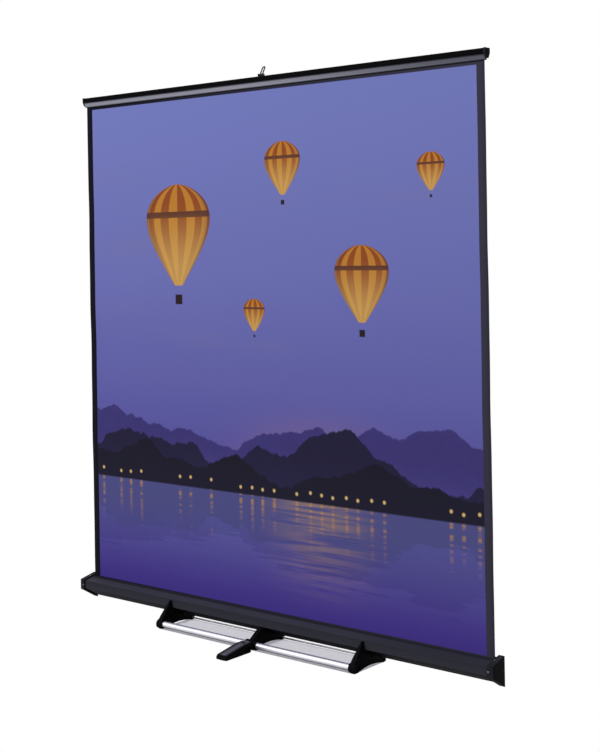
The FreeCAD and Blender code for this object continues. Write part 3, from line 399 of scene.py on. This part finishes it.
def dusk_view(board, across, up):
    """Sky, cloud, a faint glow and three ranges of hills at a place in the picture."""
    sky = board.node("ShaderNodeValToRGB", {"stops": SKY_STOPS}, {"Fac": up}, "Color")
    streaks = board.noise(board.join(across, up), (2.1, 11, 1), detail=6, roughness=0.55)
    cloud = board.rise(streaks, 0.5, 0.74) * board.rise(up, 0.42, 0.58) * (1 - board.rise(up, 0.8, 1.0))
    colour = board.blend(cloud * 0.35, sky, shade(124, 119, 165))
    aside = across - GLOW_PLACE[0]
    above = up - GLOW_PLACE[1]
    reach = (aside * aside * 1.6 + above * above * 7) ** 0.5
    glow = (1 - board.rise(reach, 0.0, GLOW_REACH)) ** 1.5
    colour = board.blend(glow * 0.4, colour, shade(174, 124, 106))
    for foot, swing, peaks, seed, top, mist in RIDGES:
        crest = ridge_line(board, across, foot, swing, peaks, seed)
        rock = board.noise(board.join(across, up), (26, 38, 1), detail=5, roughness=0.6)
        flank = board.blend(board.rise(up, HORIZON - 0.01, HORIZON + 0.10) * (0.55 + rock * 0.5), mist, top)
        colour = board.blend(board.rise(crest - up, 0.0, 0.004), colour, flank)
    return colour


def shore_lamps(board, across, up, ripple):
    """Warm lamps along the far shore, and the streaks that they throw on the water."""
    cells = across * SHORE_LAMPS
    number = board.math("FLOOR", cells)
    chance = board.node("ShaderNodeTexWhiteNoise", {"noise_dimensions": "1D"}, {"W": number + 7.5}, "Value")
    lit = board.rise(chance, DARK_LAMPS, DARK_LAMPS + 0.02)
    aside = (cells - number - 0.3 - chance * 0.4) / SHORE_LAMPS
    above = up - HORIZON - 0.006 - chance * 0.012
    dot = 1 - board.rise((aside * aside + above * above) ** 0.5, *LAMP_SIZE)
    streak = (1 - board.rise(abs(aside), *STREAK_WIDTH)) * (1 - board.rise(up, HORIZON - 0.006, HORIZON))
    fall = board.rise(up, HORIZON - 0.04 - chance * 0.08, HORIZON)
    return lit * dot, lit * streak * fall * board.rise(ripple, 0.42, 0.6)


def balloon(board, colour, across, up, centre, crown, size):
    """A lit hot-air balloon with striped gores and a basket, drawn over a colour."""
    mouth = crown - BALLOON_TALL * size
    drop = board.clip((crown - up) / (BALLOON_TALL * size))
    half = size * (board.math("SINE", drop ** BALLOON_SWELL * math.pi) + BALLOON_MOUTH * drop)
    aside = across - centre
    inside = board.drawn(half - abs(aside)) * board.drawn(crown - up) * board.drawn(up - mouth)
    turn = board.math("ARCSINE", board.clip(aside / half * 0.5 + 0.5) * 2 - 1)
    stripe = board.rise(board.math("SINE", turn * BALLOON_GORES), -0.2, 0.2)
    gore = board.blend(stripe, shade(190, 126, 45), shade(147, 74, 31))
    middle, half_band = BALLOON_BAND
    band = board.rise(half_band - abs(drop - middle), 0.0, 0.01)
    gore = board.blend(band, gore, shade(85, 38, 34))
    lit = board.blend(board.rise(drop, 0.15, 0.9) * 0.6, gore, shade(223, 181, 103))
    limb = board.blend(board.rise(abs(turn), 0.7, 1.5) * 0.6, lit, shade(81, 47, 54))
    colour = board.blend(inside, colour, limb)
    basket = (board.drawn(BASKET_HALF * size - abs(aside)) * board.drawn(mouth - BASKET_TOP * size - up)
              * board.drawn(up - mouth + BASKET_FOOT * size))
    return board.blend(basket, colour, shade(40, 25, 29))


def screen_picture(board, across, up):
    """Balloons over a mountain lake at dusk, from 0 to 1 both ways."""
    ripple = board.noise(board.join(across, up), (5, 95, 1), detail=4, roughness=0.6)
    depth = board.rise(HORIZON - up, 0.0, HORIZON)
    shimmer = (ripple - 0.5) * (0.03 + depth * 0.14)
    mirrored = dusk_view(board, across + shimmer * 0.25, 2 * HORIZON - up + shimmer)
    tint = board.blend(depth, shade(99, 101, 169), shade(66, 46, 140))
    water = board.blend(0.6 + depth * 0.34, mirrored, tint)
    gleam = ((1 - board.rise(abs(across - GLOW_PLACE[0]), 0.0, GLEAM_REACH)) * (1 - depth)
             * board.rise(ripple, 0.36, 0.62))
    water = board.blend(gleam * 0.45, water, shade(192, 153, 99))
    land = dusk_view(board, across, up)
    for centre, crown, size in BALLOONS:
        land = balloon(board, land, across, up, centre, crown, size)
    colour = board.blend(board.drawn(HORIZON - up), land, water)
    bank = board.rise(BANK_HALF - abs(up - HORIZON), 0.0, 0.003)
    colour = board.blend(bank * 0.8, colour, shade(25, 22, 38))
    lamps, streaks = shore_lamps(board, across, up, ripple)
    colour = board.blend(streaks * 0.75, colour, shade(190, 140, 74))
    return board.blend(lamps, colour, shade(227, 192, 126))


def within(board, share):
    """1 between the picture's two edges and 0 on the borders."""
    return (board.rise(share, -PICTURE_EDGE, PICTURE_EDGE)
            * (1 - board.rise(share, 1 - PICTURE_EDGE, 1 + PICTURE_EDGE)))


def cloth_front(low, high):
    material, board = finish("screen_cloth_front")
    wide, tall = high.x - low.x, high.z - low.z
    spread = board.node("ShaderNodeTexCoord", output="UV")
    u, v = board.split(spread)[:2]
    metres_across, metres_up = u * wide, v * tall
    across = (metres_across - SIDE_BORDER) / (wide - 2 * SIDE_BORDER)
    up = (metres_up - FOOT_BORDER) / (tall - FOOT_BORDER - TOP_BORDER)
    inside = within(board, across) * within(board, up)
    threads = weave(board, metres_across, metres_up)
    slub = board.noise(board.join(metres_across, metres_up), (220, 900, 1), detail=3)
    # Painted light: the black border is painted lighter towards the right edge, with slub in it
    black = board.blend(u * (0.8 + slub * 0.4), shade(20, 19, 28), shade(60, 57, 72))
    picture = board.blend(0.03 * slub, screen_picture(board, across, up), shade(187, 183, 201))
    board.surface({"Base Color": board.blend(inside, black, picture), "Roughness": 0.82 + slub * 0.1,
                   "Specular IOR Level": 0.05}, threads + slub * 0.6, depth=0.00005, strength=0.35)
    return material


def cloth_back():
    material, board = finish("screen_cloth_back")
    place = board.place()
    across, _, up = board.split(place)
    threads = weave(board, across, up)
    crease = board.noise(board.join(across, up), (1.6, 3.2, 1), detail=4)
    slub = board.noise(place, (240, 240, 900), detail=3)
    colour = board.blend(slub * 0.5 + crease * 0.5, shade(20, 20, 23), shade(34, 34, 38))
    board.surface({"Base Color": colour, "Roughness": 0.7 + crease * 0.16, "Specular IOR Level": 0.25},
                  threads + slub * 0.6, depth=0.00008)
    return material


# Pieces

def add_piece(name, shape, *materials):
    mesh = bpy.data.meshes.new(name)
    shape.to_mesh(mesh)
    shape.free()
    for material in materials:
        mesh.materials.append(material)
    made = bpy.data.objects.new(name, mesh)
    bpy.context.scene.collection.objects.link(made)
    return made


def add_cloth(back):
    """The screen: a taut sheet with a faint flutter down its free edges."""
    low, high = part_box("screen_fabric")
    wide, tall = high.x - low.x, high.z - low.z
    shape = bmesh.new()
    shape.loops.layers.uv.new("UVMap")
    bmesh.ops.create_grid(shape, x_segments=CLOTH_CELLS, y_segments=CLOTH_CELLS, size=0.5, calc_uvs=True)
    stand = (Matrix.Translation((0, low.y, (low.z + high.z) / 2)) @ Matrix.Rotation(math.pi / 2, 4, "X")
             @ Matrix.Diagonal((wide, tall, 1, 1)))
    bmesh.ops.transform(shape, matrix=stand, verts=shape.verts)
    for point in shape.verts:
        share = (point.co.z - low.z) / tall
        to_edge = abs(point.co.x) / (wide / 2)
        wave = sum(size * math.sin(share * swing + point.co.x * slant) for size, swing, slant in FLUTTER_WAVES)
        point.co.y += FLUTTER * wave * to_edge ** 4 * math.sin(math.pi * share) ** 0.7
    for face in shape.faces:
        face.smooth = True
    cloth = add_piece("screen_cloth", shape, cloth_front(low, high), back)
    wall = cloth.modifiers.new("thickness", "SOLIDIFY")
    wall.thickness = high.y - low.y
    wall.offset = -1
    wall.material_offset = 1
    wall.material_offset_rim = 1
    travel = next(joint for joint in frame["joints"] if joint["name"] == "screen_height")["range_m"]
    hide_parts("screen_fabric")
    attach(cloth, "base")
    1 + travel[0] / tall
    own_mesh(cloth)


def flat_top(shape):
    return [face for face in shape.faces if face.normal.z > FLAT]


def pan_head(seat, outward):
    """A slotted pan head standing on seat and facing outward."""
    head = bmesh.new()
    bmesh.ops.create_cone(head, cap_ends=True, segments=HEAD_SIDES, radius1=HEAD_WIDTH / 2,
                          radius2=HEAD_WIDTH / 2, depth=HEAD_RISE)
    bmesh.ops.translate(head, verts=head.verts, vec=(0, 0, HEAD_RISE / 2))
    bmesh.ops.bevel(head, geom=list(flat_top(head)[0].edges), offset=HEAD_ROUNDING, affect="EDGES", segments=4,
                    profile=0.5, material=-1)
    for side in (-1, 1):
        top = flat_top(head)
        around = dict.fromkeys(item for face in top for item in (*face.edges, *face.verts))
        bmesh.ops.bisect_plane(head, geom=[*top, *around], plane_co=(side * DRIVE_SLOT / 2, 0, 0),
                               plane_no=(1, 0, 0))
    slot = [face for face in flat_top(head) if abs(face.calc_center_median().x) < DRIVE_SLOT / 4]
    sunk = bmesh.ops.extrude_face_region(head, geom=slot)
    floor = [item for item in sunk["geom"] if isinstance(item, bmesh.types.BMVert)]
    bmesh.ops.translate(head, verts=floor, vec=(0, 0, -DRIVE_DEPTH))
    bmesh.ops.delete(head, geom=slot, context="FACES")
    turned = Matrix.Translation(seat) @ outward.to_track_quat("Z", "X").to_matrix().to_4x4()
    bmesh.ops.transform(head, matrix=turned, verts=head.verts)
    return head


def add_heads(name, node, body, seats, outwards, material):
    """Slotted heads in place of a node's plain ones."""
    single = bpy.data.meshes.new(name)
    gathered = bmesh.new()
    for seat, outward in zip(seats, outwards):
        head = pan_head(seat, outward)
        head.to_mesh(single)
        head.free()
        gathered.from_mesh(single)
    bmesh.ops.recalc_face_normals(gathered, faces=gathered.faces)
    bpy.data.meshes.remove(single)
    heads = add_piece(name, gathered, material)
    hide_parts(node)
    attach(heads, body)


def add_fasteners(material):
    """Screw heads in the end caps, facing forward and up, and in the mast's socket, facing back."""
    inset = HEAD_WIDTH / 2
    low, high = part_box("cap_screws")
    seats, outwards = [], []
    for x in (low.x + inset, high.x - inset):
        seats.append(Vector((x, low.y + HEAD_RISE, low.z + inset)))
        outwards.append(Vector((0, -1, 0)))
        seats.append(Vector((x, high.y - inset, high.z - HEAD_RISE)))
        outwards.append(Vector((0, 0, 1)))
    add_heads("cap_screw_heads", "cap_screws", "base", seats, outwards, material)

    low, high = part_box("socket_screws")
    seats = [Vector((x, high.y - HEAD_RISE, z)) for x in (low.x + inset, high.x - inset)
             for z in (low.z + inset, high.z - inset)]
    add_heads("socket_screw_heads", "socket_screws", "base", seats, [Vector((0, 1, 0))] * len(seats), material)


def paint_nodes():
    """Give every solid its finish, and hand back the finishes by slot."""
    enamel = case_enamel()
    rail = rail_enamel()
    # The caps' end faces get painted shade
    cap = moulding("cap_moulding", shade(32, 32, 39), shade(42, 42, 50), 0.46, end_shade=shade(2, 2, 4))
    foot = moulding("foot_moulding", shade(6, 6, 8), shade(12, 12, 15), 0.42)
    # The leg's top gets a painted highlight along its middle
    leg = moulding("leg_moulding", shade(6, 6, 8), shade(12, 12, 15), 0.42, top_highlight=shade(98, 98, 106),
                   highlight_node="swing_leg")
    strip = moulding("slot_strip", shade(36, 36, 43), shade(44, 44, 52), 0.6)
    cross = drawn_metal("cross_tube_metal", shade(205, 205, 214), shade(232, 232, 240), (3, 700, 700), 0.34)
    mast = drawn_metal("mast_metal", shade(186, 186, 190), shade(216, 216, 220), (700, 700, 3), 0.2)
    mill = drawn_metal("roller_metal", shade(170, 170, 174), shade(200, 200, 204), (3, 500, 500), 0.3)
    zinc = plated_steel("fastener_zinc", shade(92, 92, 98), shade(128, 128, 134), 0.3)
    wire = plated_steel("bail_wire", shade(30, 30, 33), shade(48, 48, 52), 0.36)
    spring = plated_steel("spring_steel", shade(70, 70, 74), shade(98, 98, 102), 0.34)
    rubber = pad_rubber()
    finishes = {"case_enamel": enamel, "rail_enamel": rail, "cap_plastic": cap, "foot_plastic": foot,
                "trim_plastic": strip, "cross_tube_metal": cross, "mast_metal": mast, "roller_metal": mill,
                "fastener_steel": zinc, "bail_wire": wire, "spring_steel": spring, "pad_rubber": rubber,
                "screen_cloth": cloth_back()}
    for part in frame["record"]["subparts"]:
        mesh = frame["nodes"][part["node"]].data
        mesh.materials.clear()
        mesh.materials.append(leg if part["node"] == "swing_leg" else finishes[part["material_slot"]])
    return finishes


# Studio

# The floor's half size and the reaches of its shade, in metres, and its colours as linear numbers
FLOOR_HALF = 60
FLOOR_SHADE_REACH = 0.05
FLOOR_SHADE = (0.56, 0.55, 0.60, 1)
FLOOR_CONTACT = (0.26, 0.25, 0.29, 1)
FLOOR_SHADE_EDGE = 0.006
FLOOR_SHADOW_REACH = 0.25
FLOOR_SHADOW = (0.06, 0.06, 0.07, 1)
FLOOR_BOUNCE = (0.3, 0.3, 0.3, 1)
WHITE = (1, 1, 1, 1)
ROOM_LIGHT = 0.52
# Lamps: place, aim and size in metres, and power in watts
LAMPS = {"key_lamp": ((-3.5, -7.0, 5.5), (0, 0, 1.2), (4, 4), 390),
         "fill_lamp": ((5.5, -4.5, 4.5), (0, 0, 1.0), (3, 3), 90)}


def add_camera():
    eye = bpy.data.cameras.new("studio_camera")
    eye.sensor_width = SENSOR
    eye.lens = SENSOR * FOCAL_PIXELS / FRAME_HEIGHT
    eye.shift_y = (HORIZON_PIXEL - FRAME_HEIGHT / 2) / FRAME_HEIGHT
    stand = bpy.data.objects.new("studio_camera", eye)
    bpy.context.scene.collection.objects.link(stand)
    stand.matrix_world = (Matrix.Translation(CAMERA_PLACE) @ Matrix.Rotation(math.radians(CAMERA_YAW), 4, "Z")
                          @ Matrix.Rotation(math.pi / 2, 4, "X")
                          @ Matrix.Rotation(math.radians(CAMERA_ROLL), 4, "Z"))
    bpy.context.scene.camera = stand


def add_floor():
    """A white sweep with shade between the feet; shiny pieces also see the shadow under the part."""
    shape = bmesh.new()
    bmesh.ops.create_grid(shape, x_segments=1, y_segments=1, size=FLOOR_HALF)
    material, board = finish("studio_floor")
    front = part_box("front_cross_tube")[0]
    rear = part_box("rear_cross_tube")[1]
    place = board.place()
    across, back, _ = board.split(place)
    between = ((1 - board.rise(abs(across), rear.x - FLOOR_SHADE_EDGE, rear.x))
               * board.rise(back, front.y, front.y + FLOOR_SHADE_EDGE)
               * (1 - board.rise(back, rear.y, rear.y + FLOOR_SHADE_EDGE)))
    mottle = board.noise(place, (30, 110, 1), detail=4, roughness=0.7)
    tone = board.blend(board.rise(board.openness(FLOOR_SHADE_REACH), 0.3, 0.8), FLOOR_CONTACT, FLOOR_SHADE)
    colour = board.blend(between * (1.25 - mottle * 0.6), WHITE, tone)
    mirrored = board.node("ShaderNodeLightPath", output="Is Glossy Ray")
    covered = 1 - board.rise(board.openness(FLOOR_SHADOW_REACH), 0.4, 1.0)
    colour = board.blend(mirrored * covered, colour, FLOOR_SHADOW)
    seen = board.node("ShaderNodeEmission", None, {"Color": colour, "Strength": 1})
    dull = board.node("ShaderNodeBsdfDiffuse", None, {"Color": FLOOR_BOUNCE})
    mixed = board.node("ShaderNodeMixShader", None, {0: board.watched(), 1: dull, 2: seen})
    board.node("ShaderNodeOutputMaterial", None, {"Surface": mixed})
    add_piece("studio_floor", shape, material)


def add_lamp(name, place, target, size, power):
    lamp = bpy.data.lights.new(name, "AREA")
    lamp.shape = "RECTANGLE"
    lamp.size, lamp.size_y = size
    lamp.energy = power
    holder = bpy.data.objects.new(name, lamp)
    bpy.context.scene.collection.objects.link(holder)
    aim = (Vector(target) - Vector(place)).to_track_quat("-Z", "Y")
    holder.matrix_world = Matrix.Translation(place) @ aim.to_matrix().to_4x4()


def light_studio():
    """A white room that shows whole to the camera and to shiny faces and lights the rest more softly."""
    world = bpy.data.worlds.new("studio_world")
    world.use_nodes = True
    bpy.context.scene.world = world
    board = Board(world.node_tree)
    light = board.node("ShaderNodeBackground", None,
                       {"Color": WHITE, "Strength": ROOM_LIGHT + board.watched() * (1 - ROOM_LIGHT)})
    board.node("ShaderNodeOutputWorld", None, {"Surface": light})
    for name, settings in LAMPS.items():
        add_lamp(name, *settings)
    bpy.context.scene.view_settings.view_transform = "Standard"


add_camera()
finishes = paint_nodes()
add_cloth(finishes["screen_cloth"])
add_fasteners(finishes["fastener_steel"])
add_floor()
light_studio()
